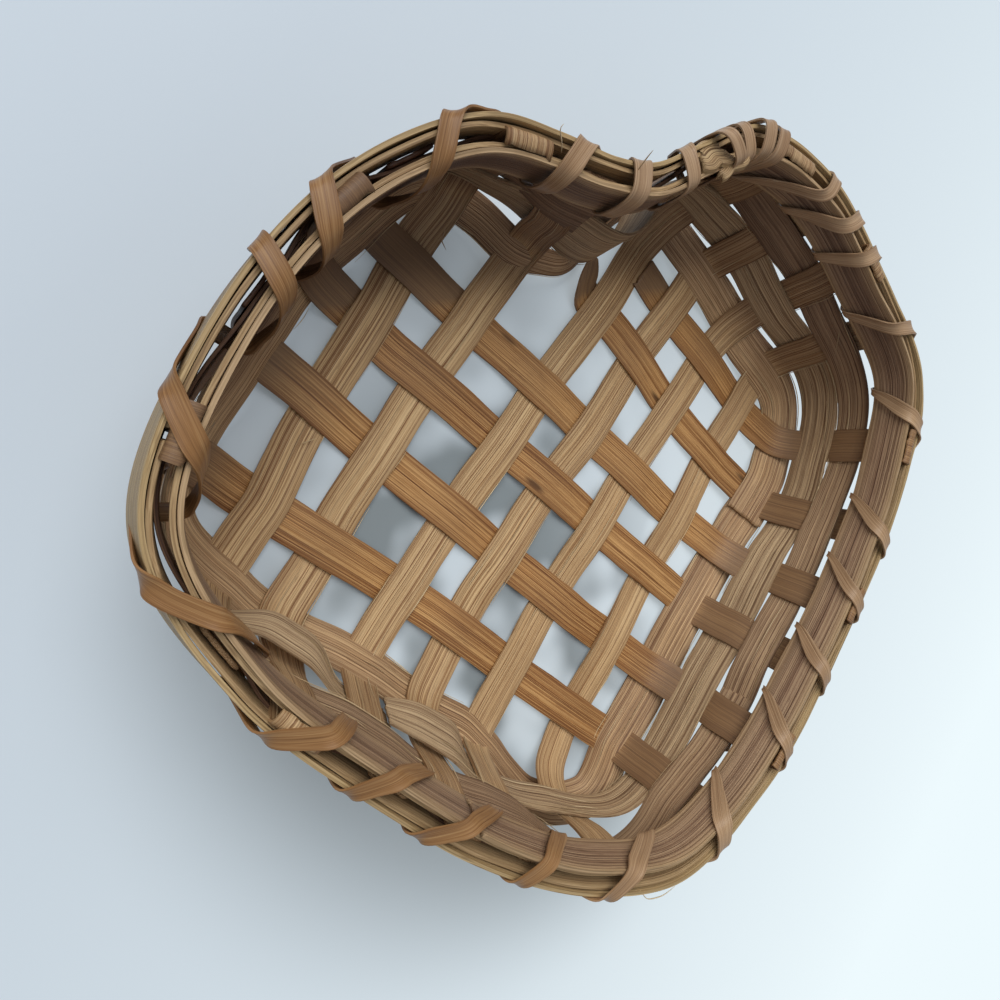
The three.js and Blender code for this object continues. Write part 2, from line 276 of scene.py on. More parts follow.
def on_line(points, t):
    """The point at share t of the smooth closed line through the points."""
    count = len(points)
    place = (t % 1.0) * count
    first = int(place)
    a, b, c, d = (points[(first + k) % count] for k in (-1, 0, 1, 2))
    ab, bc, cd = (math.sqrt((q - p).length) for p, q in ((a, b), (b, c), (c, d)))
    leave = ((b - a) / ab - (c - a) / (ab + bc) + (c - b) / bc) * bc
    arrive = ((c - b) / bc - (d - b) / (bc + cd) + (d - c) / cd) * bc
    w = place - first
    square, cube = 3 * (c - b) - 2 * leave - arrive, 2 * (b - c) + leave + arrive
    return b + leave * w + square * w**2 + cube * w**3


class Spot:
    """A spot on the wall: its middle, and the ways along the ring, up the stake and to the inside."""

    def __init__(self, middle, along, upward):
        self.middle = middle
        self.along = along.normalized()
        self.inward = self.along.cross(upward).normalized()
        self.upward = self.inward.cross(self.along)

    def moved(self, inward=0.0, upward=0.0, along=0.0):
        return self.middle + self.inward * inward + self.upward * upward + self.along * along


def foot_spot(t):
    """The middle of the lowest weaver at share t of the ring."""
    ahead = on_line(foot_line, t + nearby) - on_line(foot_line, t - nearby)
    outward = Vector((-ahead.y, ahead.x, 0)).normalized()
    middle = on_line(foot_line, t) + Vector((0, 0, lower_level))
    return Spot(middle, ahead, outward * math.cos(weaver_tilt) + Vector((0, 0, math.sin(weaver_tilt))))


def wall_point(t, level):
    """The point of the wall at share t of the ring and at a level."""
    foot = foot_spot(t)
    outward = Vector((-foot.along.y, foot.along.x, 0))
    start = on_line(foot_line, t) + outward * weaver_reach * math.cos(weaver_tilt)
    point = mixed(start, on_line(rim_line, t), (level - wall_foot_level) / (band_top - wall_foot_level))
    point.z = level
    return point


def wall_spot(t, level):
    middle = wall_point(t, level)
    ahead = wall_point(t + nearby, level) - wall_point(t - nearby, level)
    return Spot(middle, ahead, wall_point(t, level + 1) - middle)


def rim_spot(t, level):
    """The rim leans as the wall under it does, evened out because its bands are stiff."""
    under = wall_spot(t, band_bottom)
    lean = Vector()
    for shift in (-0.06, -0.03, 0, 0.03, 0.06):
        lean += wall_spot(t + shift, band_bottom).upward
    lean -= under.along * lean.dot(under.along)
    lean.normalize()
    return Spot(under.middle + lean * (level - band_bottom) / lean.z, under.along, lean)


weaver_spots = [foot_spot, lambda t: wall_spot(t, middle_level), lambda t: wall_spot(t, upper_level)]

# Each splint wanders a little from the even grid: mm along it from the middle, and mm across.
orange_wander = [
    [(-3, 44.2), (19, 42.5), (34, 41.5), (45, 40.8)],
    [(0, 29.7), (14, 27.7), (20, 26.9), (33, 25.7), (55, 24.5)],
    [(-48, 6.6), (-18, 7.2), (2, 7.7), (40, 7.7), (50, 8.8)],
    [(-54, -6.5), (-36, -8.2), (1, -7.3), (45, -7.1)],
    [(-52, -23.6), (-34, -24.8), (0, -25.5), (30, -26.2), (52, -25.5)],
    [(-46, -44.8), (-20, -43.6), (0, -43), (34, -43.9), (52, -44.1)],
]
pale_wander = [
    [(-53, -38.2), (-44, -38.1), (-31, -40.5), (-4, -42.8), (18, -45.1)],
    [(-50, -24.8), (-36, -26.5), (-16, -27.2), (18, -27.5)],
    [(-50, -7.6), (-16, -7), (18, -5.5), (36, -4.6)],
    [(-50, 8.2), (-34, 6.7), (-16, 7.3), (7, 9), (35, 9.7), (54, 11.1)],
    [(-50, 23.5), (-34, 23.2), (-16, 23.2), (26, 24.4), (47, 26.2), (62, 28.5)],
    [(-50, 44.7), (-35, 44), (-16, 43.2), (20, 42), (46, 41.5)],
]
half_turn = math.sqrt(0.5)
falling_way = Vector((half_turn, -half_turn, 0))
rising_way = Vector((half_turn, half_turn, 0))


def wandered(wander, place):
    """How far across a splint lies at a place along it."""
    if place <= wander[0][0]:
        return wander[0][1]
    for (low, start), (high, stop) in zip(wander, wander[1:]):
        if place <= high:
            return mixed(start, stop, (place - low) / (high - low))
    return wander[-1][1]


class Splint:
    """A base splint: the way that it runs, the way across it, and its wander."""

    def __init__(self, falling, index):
        self.falling = falling
        self.index = index
        self.way, self.side = (falling_way, rising_way) if falling else (rising_way, falling_way)
        self.wander = (orange_wander if falling else pale_wander)[index]

    def point(self, place):
        return self.way * place + self.side * wandered(self.wander, place)

    def meets(self, other):
        """The place along this splint where it meets another."""
        place = 0.0
        tries = 6
        for _ in range(tries):
            place = wandered(other.wander, wandered(self.wander, place))
        return place

    def over(self, other):
        """Whether this splint passes over another."""
        falling_over = (self.index + other.index) % 2 == 0
        return falling_over == self.falling

    def foot(self, forward):
        """The share of the ring at which this splint reaches the foot of the wall."""
        edge_of_base = 45
        offset = wandered(self.wander, edge_of_base if forward else -edge_of_base)
        best = None
        samples = 420
        for s in range(samples):
            low, high = s / samples, (s + 1) / samples
            here, there = on_line(foot_line, low), on_line(foot_line, high)
            left, right = here.dot(self.side), there.dot(self.side)
            if (left - offset) * (right - offset) > 0:
                continue
            part = (offset - left) / (right - left)
            reach = mixed(here, there, part).dot(self.way) * (1 if forward else -1)
            if best is None or reach > best[0]:
                best = (reach, mixed(low, high, part))
        return best[1]


orange_splints = [Splint(True, index) for index in range(splints_each_way)]
pale_splints = [Splint(False, index) for index in range(splints_each_way)]

# The stakes in their order round the basket, clockwise from the cleft.
stake_order = [(splint, True) for splint in pale_splints[cut_splints:] + orange_splints]
stake_order += [(splint, False) for splint in reversed(orange_splints[cut_splints:] + pale_splints)]
stake_order += [(splint, True) for splint in pale_splints[:cut_splints]]
stake_places = [splint.foot(forward) for splint, forward in stake_order]


def stake_side(order, row):
    """1 where a stake passes inside a weaver and -1 where it passes outside."""
    return 1 if (order + row) % 2 == 0 else -1


# Every other stake is folded over the fillers: mm above them, and mm to the inside. Two are cut off.
folded_end = [(-1.2, -0.3), (0.0, -1.0), (1.0, -1.4), (1.4, -0.5), (1.4, 0.6), (1.2, 1.4), (0.9, 1.8)]
cut_off = (10, 12)
sunk_end = 1.8
stake_shift = {14: (0, -2.2, -2.0)}  # mm along the ring at the three weavers
flat_by_weaver = 1.6  # flat run of a stake above and below a weaver's middle


def stake_run(order, side):
    """The stations of a stake, from the foot of the wall to its end in the rim."""
    t = stake_places[order]
    stations = []

    def add(spot, inward, upward=0.0, along=0.0):
        across = spot.along if spot.along.dot(side) > 0 else -spot.along
        stations.append((spot.moved(inward, upward, along), across, 1.0))

    for row, spot_at in enumerate(weaver_spots):
        spot = spot_at(t)
        offset = stake_side(order, row) * weave_offset
        shift = stake_shift.get(order, (0, 0, 0))[row]
        for height in (-flat_by_weaver, flat_by_weaver):
            add(spot, offset, height, shift)
    add(rim_spot(t, band_bottom), 0)
    if order % 2 or order in cut_off:
        add(rim_spot(t, stake_top - sunk_end), 0)
    else:
        for level, offset in folded_end:
            add(rim_spot(t, stake_top + level), offset)
    return stations


def base_run(splint, start):
    """The stations of a splint over the base, over and under the ones that it crosses."""
    others = pale_splints if splint.falling else orange_splints
    if splint.index < cut_splints:
        others = others[cut_splints:]
    crossings = sorted((splint.meets(other), splint.over(other)) for other in others)
    stations = []
    first = start if start is not None else crossings[0][0] - flat_reach
    last = crossings[-1][0] + flat_reach
    steps = int((last - first) / station_gap)
    for step in range(steps + 1):
        place = mixed(first, last, step / steps)
        height = weave_offset if crossings[0][1] else -weave_offset
        for (low, over), (high, _) in zip(crossings, crossings[1:]):
            if place > low:
                part = min((place - low) / (high - low), 1)
                height = weave_offset * math.cos(math.pi * part) * (1 if over else -1)
        stations.append((splint.point(place) + Vector((0, 0, base_level + height)), splint.side, 1.0))
    return stations


def splint_run(splint, start=None):
    """The stations of a whole splint, from its backward end over the base to its forward end."""
    stations = base_run(splint, start)
    ends = {forward: order for order, (owner, forward) in enumerate(stake_order) if owner is splint}
    if False in ends:
        stations = list(reversed(stake_run(ends[False], splint.side))) + stations
    if True in ends:
        stations = stations + stake_run(ends[True], splint.side)
    return stations


def laid_out(stations, step, ease):
    """The stations again at even steps, with each kink eased over a length each side of it."""
    reached = [0.0]
    for before, after in zip(stations, stations[1:]):
        reached.append(reached[-1] + max((after[0] - before[0]).length, 1e-5))
    count = max(2, round(reached[-1] / step))
    even = []
    k = 0
    for i in range(count + 1):
        distance = reached[-1] * i / count
        while k < len(stations) - 2 and reached[k + 1] < distance:
            k += 1
        part = (distance - reached[k]) / (reached[k + 1] - reached[k])
        even.append([mixed(low, high, part) for low, high in zip(stations[k], stations[k + 1])])
    window = round(ease / step)
    eased = []
    for i in range(count + 1):
        reach = min(window, i, count - i)
        weights = [1 + math.cos(math.pi * j / (reach + 1)) for j in range(-reach, reach + 1)]
        total = sum(weights)
        near = list(zip(even[i - reach:i + reach + 1], weights))
        nowhere = Vector()
        point = sum((entry[0] * weight for entry, weight in near), nowhere) / total
        across = sum((entry[1] * weight for entry, weight in near), nowhere)
        breadth = sum(entry[2] * weight for entry, weight in near) / total
        eased.append((point, across.normalized(), breadth))
    return eased, reached[-1] / count


def eased_share(value, low, high):
    """0 up to the low value and 1 from the high one on, smoothly between."""
    share = min(max((value - low) / (high - low), 0), 1)
    return share * share * (3 - 2 * share)


# How far painted shade and browning darken the wood, as a share: on the wall in front, from left to
# right, on the wall behind, from the left lobe over the cleft to the right lobe, and on the back of the
# base, where it is painted shadow of the back wall. The top of the rim keeps paler by a share.
front_shade_and_age = (0.35, 0.15)
back_shade_and_age = (0.93, 0.7, 0.62)
base_painted_shadow = 0.5
rim_top_paler_share = 0.5


def shade_and_age_at(point):
    """How far painted shade and browning darken the wood at a point, in mm from the middle of the base.
    """
    up = min(max((point.z - 1.2) / 6.0, 0), 1)
    left, right = front_shade_and_age
    front = mixed(left, right, eased_share(point.x, -50, 20))
    left_lobe, cleft, right_lobe = back_shade_and_age
    lobes = mixed(left_lobe, cleft, eased_share(point.x, -40, -10))
    lobes = mixed(lobes, right_lobe, eased_share(point.x, 12, 35))
    back = eased_share(point.y + 0.35 * max(point.x - 30, 0), 2, 30)
    # painted shadow of the back wall on the back of the base
    base = base_painted_shadow * eased_share(point.y, 25, 36)
    rim_top_paler = 1 - rim_top_paler_share * eased_share(point.z, 32, 34)
    return rim_top_paler * max(up * mixed(front, lobes, back), base)


# Across a strip: its cut edges and the columns of points between them, from -1 to 1.
columns = [-1.0, -0.94, -0.75, -0.5, -0.25, 0.0, 0.25, 0.5, 0.75, 0.94, 1.0]
# How often in a mm its edges waver, its ridges change along and across it, and its ends are torn.
edge_waves = 0.11
ridge_waves = (0.035, 1.4)
torn_waves = 0.9


def wavy(x, y, z):
    """Smooth noise about 0."""
    return noise.noise(Vector((x, y, z)))


def wooden_piece(name, finish, spots, faces, grain, worn, aged):
    """A piece of wood. Its grain attribute holds the mm along, the mm across and the side of a point,
    worn how near an edge it is, and the last attribute how far painted shade and browning darken it.
    """
    mesh = bpy.data.meshes.new(name)
    shift = Vector((0, base_forward, 0))
    mesh.from_pydata([(spot + shift) * mm for spot in spots], [], faces)
    mesh.polygons.foreach_set("use_smooth", [True] * len(mesh.polygons))
    held = mesh.attributes.new("grain", "FLOAT_VECTOR", "POINT")
    held.data.foreach_set("vector", [value for place in grain for value in place])
    for kept, values in (("worn", worn), ("aged", aged)):
        held = mesh.attributes.new(kept, "FLOAT", "POINT")
        held.data.foreach_set("value", values)
    mesh.update()
    mesh.materials.append(finish)
    piece = bpy.data.objects.new(name, mesh)
    bpy.context.scene.collection.objects.link(piece)
    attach(piece, "root")
    return piece


def wrapped(base, order, last):
    """Faces that join each ring of points to the next. The points are numbered from the base on."""
    around = len(order)
    faces = []
    for i in range(last):
        for k in range(around):
            a, b = (base + around * i + order[j % around] for j in (k, k + 1))
            faces.append((a, b, b + around, a + around))
    return faces


def strip_piece(name, finish, stations, width, seed, thickness=splint_thickness, step=0.8, ease=2.0,
                cup=0.0, ridges=0.03, waver=0.25, ragged=0.8, bevel=0.75):
    """A flat strip of split wood: a closed body with wavering edges, raised ridges and ragged ends."""
    run, gap = laid_out(stations, step, ease)
    last = len(run) - 1
    spots, grain, worn, aged = [], [], [], []
    for i, (point, across, breadth) in enumerate(run):
        ahead = (run[min(i + 1, last)][0] - run[max(i - 1, 0)][0]).normalized()
        across = (across - ahead * across.dot(ahead)).normalized()
        face = ahead.cross(across)
        along = i * gap
        end = -1 if i == 0 else 1 if i == last else 0
        edges = [breadth * (width / 2 + waver * wavy(along * edge_waves, shift, seed))
                 for shift in (7.3, 14.6)]
        for side in (1, -1):
            for column in columns:
                x = column * edges[column > 0]
                rim_share = bevel if abs(column) == 1 else 1.0
                ridge = ridges * wavy(along * ridge_waves[0], x * ridge_waves[1], seed + side * 3.1)
                rise = side * rim_share * (thickness / 2 + ridge) + cup * (0.4 - column * column)
                jag = end * ragged * wavy(x * torn_waves, seed, end * 4.0)
                spots.append(point + across * x + face * rise + ahead * jag)
                grain.append((along + seed * 37.0, x, side * 1.5 + seed * 11.0))
                worn.append(abs(column) ** 3)
                aged.append(shade_and_age_at(spots[-1]))
    wide = len(columns)
    around = 2 * wide
    faces = wrapped(0, [*range(wide), *range(around - 1, wide - 1, -1)], last)
    for i, turn in ((0, 1), (last, -1)):
        for k in range(wide - 1):
            corner = around * i + k
            faces.append((corner, corner + wide, corner + wide + 1, corner + 1)[::turn])
    piece = wooden_piece(name, finish, spots, faces, grain, worn, aged)
    cut_edges = (0, wide - 1, wide, around - 1)
    for edge in piece.data.edges:
        first, second = edge.vertices
        edge.use_edge_sharp = first % around == second % around and first % around in cut_edges
    return piece


# The colours of stains, knots and faded stakes, and those of a wood that is duller on the right, with
# the places between which it dulls. Then what painted shade and browning leave of a colour.
stain_colour = painted(100, 66, 48)
knot_colour = painted(60, 34, 20)
faded_colour = painted(132, 107, 82)
dull_dark, dull_light = painted(152, 122, 92), painted(222, 194, 160)
dull_begins, dull_full = -0.03, -0.008
shade_and_age_tint = (0.17, 0.118, 0.16, 1)
fibre_height = 0.0003
specular_level = 0.28


def wood_finish(name, colours, fibres=1.0, gloss=0.5, raised=0.5, stain=0.2, knots=0.0, fibre_highlight_share=0.3,
                shade_and_age_strength=1.0, faded=0.0, edges_spared=0.0, dulled=0.0):
    """Split wood: straight fine fibres with broader bands, pale raised ones that partly carry a painted
    highlight, pores, stains and edges.
    Its colours are those of its dark, middle and light wood, and of its cut edges.
    """
    dark, middle, light, edge = (painted(*colour) for colour in colours)
    wood = Finish(name)
    held = (("grain", "Vector"), ("worn", "Fac"), ("aged", "Fac"))
    grain, worn, aged = (wood.node("ShaderNodeAttribute", {"attribute_name": kept}, out=out)
                         for kept, out in held)

    def drawn_out(along, across):
        """The place on the grain, for a figure that changes so often in a mm along and across."""
        often = (along, across, 1.0)
        return wood.node("ShaderNodeVectorMath", {"operation": "MULTIPLY"}, {0: grain, 1: often})

    def figure(along, across, detail, roughness=0.5):
        sockets = {"Vector": drawn_out(along, across), "Scale": 1.0, "Detail": detail}
        return wood.node("ShaderNodeTexNoise", {}, {**sockets, "Roughness": roughness})

    def marked(value, low, high, share):
        """0 where a value is below the low one, and a share where it is above the high one."""
        sockets = {0: value, 1: low, 2: high, 3: 0.0, 4: share}
        return wood.node("ShaderNodeMapRange", {"clamp": True}, sockets)

    def blended(share, below, above, how="MIX"):
        settings = {"data_type": "RGBA", "clamp_factor": True, "blend_type": how}
        return wood.node("ShaderNodeMix", settings, {0: share, 6: below, 7: above}, out=2)

    patch = figure(0.03, 0.12, 2.0)
    band = figure(0.005, 0.3, 2.0)
    strand = figure(0.006, 1.9, 2.0)
    fibre = figure(0.010, 7.0, 2.0, 0.6)
    fleck = figure(0.12, 6.0, 2.0)
    streaky = min(fibres, 1.0)
    shade = (band - 0.5) * 0.25 + (strand - 0.5) * 0.1 * streaky + (patch - 0.5) * 0.5 + 0.5
    shade = shade + (fibre - 0.5) * 3.3 * fibres + (fleck - 0.5) * 0.8
    stops = [(0.12, dark), (0.5, middle), (0.88, light)]
    colour = wood.node("ShaderNodeValToRGB", {"stops": stops}, {0: shade})
    # pale raised fibres: partly their own paler colour, partly a painted highlight along them
    hair = marked(figure(0.008, 9.0, 1.0), 0.51, 0.58, fibre_highlight_share)
    colour = blended(hair, colour, light)
    split = marked(figure(0.008, 8.0, 1.0), 0.58, 0.66, 0.22 * fibres)
    pores = marked(figure(0.25, 6.0, 1.0), 0.62, 0.72, 0.45 * streaky)
    colour = blended(split, colour, dark)
    colour = blended(pores, colour, dark)
    colour = blended(marked(figure(0.035, 0.1, 3.0), 0.48, 0.72, stain), colour, stain_colour)
    if knots > 0:
        sockets = {"Vector": drawn_out(0.03, 0.11), "Scale": 1.0}
        eyes = wood.node("ShaderNodeTexVoronoi", {"feature": "F1"}, sockets, out="Distance")
        colour = blended(marked(1 - eyes, 0.9, 0.96, knots), colour, knot_colour)
    colour = blended(worn * (0.2 + 0.5 * strand), colour, edge)
    if faded > 0:  # where it stands in the wall
        colour = blended(marked(aged, 0.0, 0.12, faded), colour, faded_colour)
    if dulled > 0:  # on the right half of the basket
        place = wood.node("ShaderNodeNewGeometry", out="Position")
        x = wood.node("ShaderNodeSeparateXYZ", {}, {0: place}, out="X")
        dull = blended(shade + (fibre - 0.5) * 2.0, dull_dark, dull_light)
        colour = blended(marked(x, dull_begins, dull_full, dulled), colour, dull)
    # painted shade and browning, spared at the edges by a share
    colour = blended(aged * shade_and_age_strength * (1 - edges_spared * worn), colour, shade_and_age_tint, "MULTIPLY")
    height = strand * 0.12 + fibre * 0.88
    sockets = {"Height": height, "Strength": raised, "Distance": fibre_height}
    bump = wood.node("ShaderNodeBump", {}, sockets, out="Normal")
    rough = gloss + (fibre - 0.5) * 0.5 + pores * 0.2
    wood.fill(wood.shader, {"Base Color": colour, "Roughness": rough, "Normal": bump})
    wood.fill(wood.shader, {"Specular IOR Level": specular_level})
    return wood.material


orange_wood = wood_finish(
    "orange_splint_wood", [(111, 67, 36), (176, 125, 73), (214, 168, 110), (115, 70, 40)],
    gloss=0.42, raised=0.35, knots=0.8, fibre_highlight_share=0.35, faded=0.7)
orange_width = 7.9
# Where the two that stop at the cleft begin, in mm along them. The second is broken off, and its end
# is turned up and aside: mm on, mm aside, mm up and share of the width.
orange_starts = [-1.0, -9.5, None, None, None, None]
broken_number = 2
broken_end = [
    (-4.8, 4.6, 4.4, 0.3), (-3.2, 2.8, 3.2, 0.6), (-1.8, 1.2, 2.0, 0.8), (-0.8, 0.3, 0.8, 1.0),
]
for number, splint in enumerate(orange_splints, 1):
    run = splint_run(splint, orange_starts[splint.index])
    if number == broken_number:
        turned_up = []
        for on, aside, up, share in broken_end:
            spot = run[0][0] + splint.way * on + splint.side * aside + Vector((0, 0, up))
            turned_up.append((spot, (splint.side + splint.way * 0.2 * aside).normalized(), share))
        run = turned_up + run
    piece = strip_piece(
        f"orange_splint_{number}", orange_wood, run, orange_width, seed=number, ease=3.2, cup=0.1)
    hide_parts(f"falling_splint_{number}")

# Rising splints: six more of the same strips, paler and rougher, with the fibres standing up. They
# run from the lower left to the upper right, over and under the falling ones in a plain check.
pale_wood = wood_finish(
    "pale_splint_wood", [(127, 87, 54), (188, 146, 98), (230, 196, 147), (134, 96, 60)],
    fibres=1.15, raised=0.7, stain=0.15, fibre_highlight_share=0.65)
pale_width = 8.0
pale_straws = 16
rough_runs = []  # the runs of the rougher strips, each with the number of straws that lift off it
for number, splint in enumerate(pale_splints, 1):
    run = splint_run(splint)
    rough_runs.append((run, pale_straws))
    piece = strip_piece(
        f"pale_splint_{number}", pale_wood, run, pale_width, seed=10 + number, ease=3.2, cup=0.08)
    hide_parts(f"rising_splint_{number}")

# Weavers: three splints that go round the stakes, one above the other, and fill the wall. The ends of
# each lap over one stake. The middle one is slack: it bulges in across the cleft, and off two stakes
# near the left lobe, and its ragged end shows beside one of them.
stake_count = len(stake_places)
weaver_width = 8.0
lap_offset, slack_lap = 0.8, 1.1
# For each weaver: its node, the straws on it, the stake at which it starts, the mm by which its end
# passes that stake, its bulge across the cleft and its slack at stakes. Then its breadth, its rise, how
# much flatter it leans and how far it bulges out, at points of the outline.
weavers = [
    {"node": "lower_weaver", "straws": 40, "start": 5,
     "breadths": [(0, 0.64), (0.9, 0.64), (1.6, 0.9), (3, 1), (4.5, 1.25), (9, 1.3), (11, 1),
         (16, 0.95), (19.8, 0.9), (20.5, 0.66), (21, 0.64)],
     "rises": [(0, 0), (3, 0), (5, -0.7), (9, -0.7), (11, 0), (21, 0)],
     "leans": [(0, 0), (3, 0.1), (5, 0.3), (9, 0.3), (11, 0.1), (13, 0), (21, 0)],
     "outs": [(0, 1.1), (0.5, 0.4), (1, 0), (9.5, 0), (9.75, 2.5), (10, 5.6), (10.4, 6.6), (10.75, 6),
         (11, 4.2), (11.4, 1.6), (11.8, 0), (19.6, 0), (20.1, 1), (20.5, 1.5), (21, 1.1)]},
    {"node": "middle_weaver", "straws": 90, "start": 13, "reach": -2.6, "bulge": 5.5,
     "slacks": {14: 3.2, 12: 2.2, 10: 0.6},
     "breadths": [(0, 1.75), (1.3, 1.3), (4, 1.15), (9, 1.2), (9.6, 1.05), (10.4, 0.92), (11.2, 1),
         (12, 1.12), (13.2, 0.76), (14.6, 0.78), (16, 1), (18.6, 1.1), (19.3, 1.35), (20.3, 1.7),
         (21, 1.75)],
     "rises": [(0, 3.2), (1.4, 0.5), (2.5, 0), (9.4, 0), (10.2, 0.8), (10.8, 0.8), (11.6, 0),
         (18.5, 0.3), (20.3, 3), (21, 3.2)]},
    {"node": "upper_weaver", "straws": 50, "start": 8,
     "breadths": [(0, 1.5), (1, 1.45), (1.9, 1.1), (4, 0.98), (5, 0.93), (9, 0.95), (10.5, 1.15),
         (11.5, 1.3), (15.5, 1.25), (18, 1.1), (20.2, 1.2), (21, 1.5)],
     "rises": [(0, -1.8), (1, -1.7), (1.9, -0.4), (4, -0.6), (5, -1.1), (9, -0.9), (11, -0.4),
         (13, -0.8), (15.5, -0.6), (18, -0.3), (20.2, -0.6), (21, -1.8)],
     "outs": [(0, 0), (9.6, 0), (9.95, 3), (10.2, 4.5), (10.6, 4.3), (11.1, 1.6), (11.5, 0), (21, 0)]},
]


def along_ring(pairs, t):
    """The value at share t of the ring, between values that are given at points of its outline."""
    place = (t % 1.0) * outline_points
    for (low, start), (high, stop) in zip(pairs, pairs[1:]):
        if place <= high:
            return mixed(start, stop, (place - low) / (high - low))
    return pairs[-1][1]


steady = ((0, 0), (21, 0))
even_breadth = ((0, 1), (21, 1))
slack_lean = 0.16  # how much a mm of slack lays a weaver back
ring_length = 360  # mm, about
lap = 6.2  # mm by which each end of a weaver passes its first stake
span_steps = 16


def ring_run(spot_at, offset_at, start, reach=lap, tail=lap, bulge=0.0, breadths=even_breadth,
             rises=steady, leans=steady, outs=steady):
    """The stations of a ring that goes round the stakes, from one stake round to the same stake. Its
    tail is the mm before that stake at the start, and its reach the mm past it at the end.
    """
    stations = []

    def add(t, inward, slack=0.0, along=0.0):
        spot = spot_at(t)
        up = spot.upward - spot.inward * (slack_lean * slack + along_ring(leans, t))
        outward = Vector((-spot.along.y, spot.along.x, 0)).normalized() * along_ring(outs, t)
        point = spot.moved(inward, along_ring(rises, t), along) + outward
        stations.append((point, up.normalized(), along_ring(breadths, t)))

    first = stake_places[start]
    add(first, offset_at(start, False)[0], 0, -tail)
    for k in range(stake_count):
        here = (start + k) % stake_count
        there = (here + 1) % stake_count
        low, high = offset_at(here, False), offset_at(there, k + 1 == stake_count)
        span = (stake_places[there] - stake_places[here]) % 1.0
        for step in range(span_steps):
            share = step / span_steps
            part = eased_share(share, 0.2, 0.8)
            offset, slack = (mixed(before, after, part) for before, after in zip(low, high))
            if there == 0:
                offset += bulge * math.sin(math.pi * share) ** 2
            if reach < 0 and k + 1 == stake_count and span * share > span + reach / ring_length:
                break
            add(stake_places[here] + span * share, offset + slack, slack)
    if reach > 0:
        offset, slack = offset_at(start, True)
        add(first, offset + slack, slack)
        add(first, offset + slack, slack, reach)
    return stations


lower_wood = wood_finish(
    "lower_weaver_wood", [(116, 82, 55), (185, 145, 103), (229, 193, 146), (110, 75, 49)],
    gloss=0.48, raised=0.6, stain=0.35, fibre_highlight_share=0.5)
weaver_wood = wood_finish(
    "weaver_wood", [(112, 82, 60), (172, 138, 104), (216, 184, 144), (112, 82, 58)],
    gloss=0.62, raised=0.7, stain=0.35, fibre_highlight_share=0.55)
slack_wood = wood_finish(
    "slack_weaver_wood", [(118, 90, 64), (180, 148, 112), (226, 198, 156), (150, 120, 86)],
    gloss=0.6, raised=0.7, stain=0.25, fibre_highlight_share=0.65, shade_and_age_strength=0.58)
finishes = [lower_wood, slack_wood, weaver_wood]
for row, weaver in enumerate(weavers):
    node, count, slacks = weaver.pop("node"), weaver.pop("straws"), weaver.pop("slacks", {})

    def beside(order, lapped):
        """How far to the inside the weaver passes a stake, and its slack there."""
        if lapped and row == 1:
            return slack_lap, slacks.get(order, 0)
        offset = weave_offset + (lap_offset if lapped else 0)
        return -stake_side(order, row) * offset, slacks.get(order, 0)

    run = ring_run(weaver_spots[row], beside, **weaver)
    piece = strip_piece(
        f"wall_splint_{row + 1}", finishes[row], run, weaver_width, seed=20 + row, ease=2.4,
        ridges=0.025, waver=0.3)
    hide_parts(node)
    rough_runs.append((run, count))

# Rim bands and fillers: two flat bands clasp the ends of the stakes, with a thin splint laid in on
# each side of the ends. Each goes once round and butts against itself.
band_thickness = 0.8
# How much the outer band flares out towards its foot, at points of the outline, and the mm that this
# moves its middle. It flares near the left lobe.
outer_flare = [(0, 0), (12.4, 0), (13.6, 0.2), (14.8, 0.24), (16.0, 0.1), (17.2, 0), (21, 0)]
flare_shift = 2.2
spread_waves, height_waves = 0.08, 0.05  # how often a layer wavers in a step


def layer_run(offset, level, start, seed, slack, waver, flares=steady):
    """The stations of one layer of the rim, which spreads where nothing pinches it."""
    stations = []
    steps = 420
    for step in range(steps):
        t = stake_places[start] + step / steps
        spot = rim_spot(t, level)
        away = offset + slack * wavy(step * spread_waves, seed, 0)
        height = waver * wavy(step * height_waves, seed, 5)
        flare = along_ring(flares, t)
        up = (spot.upward + spot.inward * flare).normalized()
        stations.append((spot.moved(away - flare * flare_shift, height), up, 1.0))
    return stations


band_wood = wood_finish(
    "rim_band_wood", [(100, 72, 54), (157, 124, 97), (200, 169, 134), (184, 156, 112)],
    gloss=0.48, stain=0.3, edges_spared=0.75)
outer_wood = wood_finish(
    "outer_band_wood", [(116, 90, 60), (176, 146, 102), (212, 186, 140), (184, 156, 110)],
    stain=0.3, shade_and_age_strength=0.5, edges_spared=0.6)
filler_wood = wood_finish(
    "rim_filler_wood", [(108, 80, 52), (168, 135, 96), (208, 180, 136), (178, 148, 106)],
    gloss=0.55, raised=0.6, fibre_highlight_share=0.4, shade_and_age_strength=0.35)
# Its name, mm to the inside, width, drop below the top, first stake, slack, flares, finish and slot.
rim_layers = [
    ("inner_band", 2.3, 8.4, 0, 12, 0.12, steady, band_wood, "rim_band"),
    ("inner_filler", 1.4, 6.4, 0.8, 3, 0.12, steady, filler_wood, "rim_filler"),
    ("outer_filler", -1.2, 6.4, 0.6, 16, 0.3, steady, filler_wood, "rim_filler"),
    ("outer_band", -2.3, 8, 0, 7, 0.12, outer_flare, outer_wood, "rim_band"),
]
band_waver = 0.5
for number, layer in enumerate(rim_layers):
    name, offset, width, drop, start, slack, flares, finish, slot = layer
    run = layer_run(offset, band_top - drop - width / 2, start, number, slack, band_waver, flares)
    piece = strip_piece(
        f"rim_{name}_splint", finish, run, width, 30 + number, band_thickness, bevel=0.85)
    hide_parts(f"rim_{name}")

